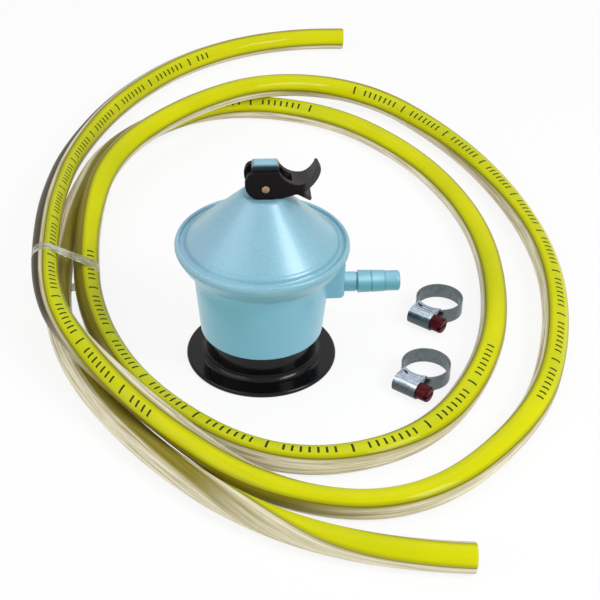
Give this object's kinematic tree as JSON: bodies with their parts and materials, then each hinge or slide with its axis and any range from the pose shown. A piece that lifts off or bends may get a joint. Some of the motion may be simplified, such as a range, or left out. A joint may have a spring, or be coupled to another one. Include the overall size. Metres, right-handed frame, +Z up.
{
  "type": "gas regulator kit",
  "caption": "Low-pressure gas regulator with a conical cover, cam lever, clip-on locking collar and side hose nozzle, with a loosely looped hose and worm-drive hose clamps.",
  "frame": {"origin": "centre of the coupling's mouth, on the plane that the regulator stands on", "axes": "+Z up along the regulator's axis, +X along the hose nozzle"},
  "size_m": [0.2874, 0.5259, 0.1132],
  "materials": {
    "blue_paint": "satin metallic",
    "black_plastic": "glossy",
    "lever_black": "satin",
    "brass": "turned",
    "steel": "zinc plated",
    "spring_steel": "oiled",
    "seal_rubber": "matt",
    "hose_pvc": "clear and yellow, glossy",
    "clear_tape": "clear film",
    "red_plastic": "glossy"
  },
  "bodies": {
    "regulator": {"lower_body": "blue_paint", "upper_cover": "blue_paint", "valve_coupling": "steel", "collar_spring": "spring_steel", "collar_retainer": "spring_steel", "inlet_nose": "brass", "coupling_seal": "seal_rubber", "inlet_filter": "brass", "rod_gland": "brass", "rod_seal": "seal_rubber", "jet": "brass", "rocker_pin": "steel", "diaphragm": "seal_rubber", "pressure_spring": "spring_steel", "spring_adjuster": "brass", "plunger_spring": "spring_steel", "outlet_nozzle": "blue_paint", "outlet_seal": "seal_rubber", "hose": "hose_pvc", "hose_tape": "clear_tape", "clamp_1_band": "steel", "clamp_1_housing": "steel", "clamp_2_band": "steel", "clamp_2_housing": "steel"},
    "collar": {"locking_collar": "black_plastic"},
    "plunger": {"plunger": "blue_paint"},
    "lever": {"lever": "lever_black", "lever_pin": "brass"},
    "diaphragm_stack": {"diaphragm_plate": "steel", "diaphragm_hub": "brass", "hub_nut": "steel", "hub_seal": "seal_rubber"},
    "rocker": {"rocker_arm": "steel", "seat_holder": "brass", "seat_pad": "seal_rubber"},
    "clamp_1_worm": {"clamp_1_screw": "red_plastic"},
    "clamp_2_worm": {"clamp_2_screw": "red_plastic"},
    "ball_1": {"locking_ball_1": "steel"},
    "ball_2": {"locking_ball_2": "steel"},
    "ball_3": {"locking_ball_3": "steel"},
    "ball_4": {"locking_ball_4": "steel"}
  },
  "joints": [
    {"name": "collar_lift", "type": "slide", "parent": "regulator", "child": "collar", "axis": [0, 0, 1], "range_m": [0, 0.006], "stiffness_N_per_m": 600, "springref_m": -0.012, "deforming": ["collar_spring"]},
    {"name": "lever_swing", "type": "hinge", "parent": "plunger", "child": "lever", "pos_m": [0.001, 0, 0.1012], "axis": [0, -1, 0], "range_deg": [0, 90]},
    {"name": "plunger_lift", "type": "slide", "parent": "regulator", "child": "plunger", "axis": [0, 0, 1], "range_m": [0, 0.0044], "deforming": ["plunger_spring"]},
    {"name": "diaphragm_lift", "type": "slide", "parent": "regulator", "child": "diaphragm_stack", "axis": [0, 0, 1], "range_m": [0, 0.002], "stiffness_N_per_m": 900, "springref_m": -0.01, "deforming": ["pressure_spring", "diaphragm"]},
    {"name": "rocker_swing", "type": "hinge", "parent": "regulator", "child": "rocker", "pos_m": [-0.0175, 0, 0.049], "axis": [0, -1, 0], "range_deg": [0, 6.6]},
    {"name": "ball_1_slide", "type": "slide", "parent": "regulator", "child": "ball_1", "axis": [0.7071, 0.7071, 0], "range_m": [0, 0.0012]},
    {"name": "ball_2_slide", "type": "slide", "parent": "regulator", "child": "ball_2", "axis": [-0.7071, 0.7071, 0], "range_m": [0, 0.0012]},
    {"name": "ball_3_slide", "type": "slide", "parent": "regulator", "child": "ball_3", "axis": [-0.7071, -0.7071, 0], "range_m": [0, 0.0012]},
    {"name": "ball_4_slide", "type": "slide", "parent": "regulator", "child": "ball_4", "axis": [0.7071, -0.7071, 0], "range_m": [0, 0.0012]},
    {"name": "clamp_1_turn", "type": "hinge", "parent": "regulator", "child": "clamp_1_worm", "pos_m": [0.08583, 0.02028, 0.0048], "axis": [0.766, -0.6428, 0], "continuous": true},
    {"name": "clamp_2_turn", "type": "hinge", "parent": "regulator", "child": "clamp_2_worm", "pos_m": [0.07083, -0.03672, 0.0048], "axis": [0.766, -0.6428, 0], "continuous": true}
  ],
  "couplings": [
    {"joint": "lever_swing", "follows": "plunger_lift", "rad_per_m": 357.14},
    {"joint": "rocker_swing", "follows": "diaphragm_lift", "rad_per_m": 57.14},
    {"joint": "ball_1_slide", "follows": "collar_lift", "ratio": 0.2},
    {"joint": "ball_2_slide", "follows": "collar_lift", "ratio": 0.2},
    {"joint": "ball_3_slide", "follows": "collar_lift", "ratio": 0.2},
    {"joint": "ball_4_slide", "follows": "collar_lift", "ratio": 0.2}
  ]
}
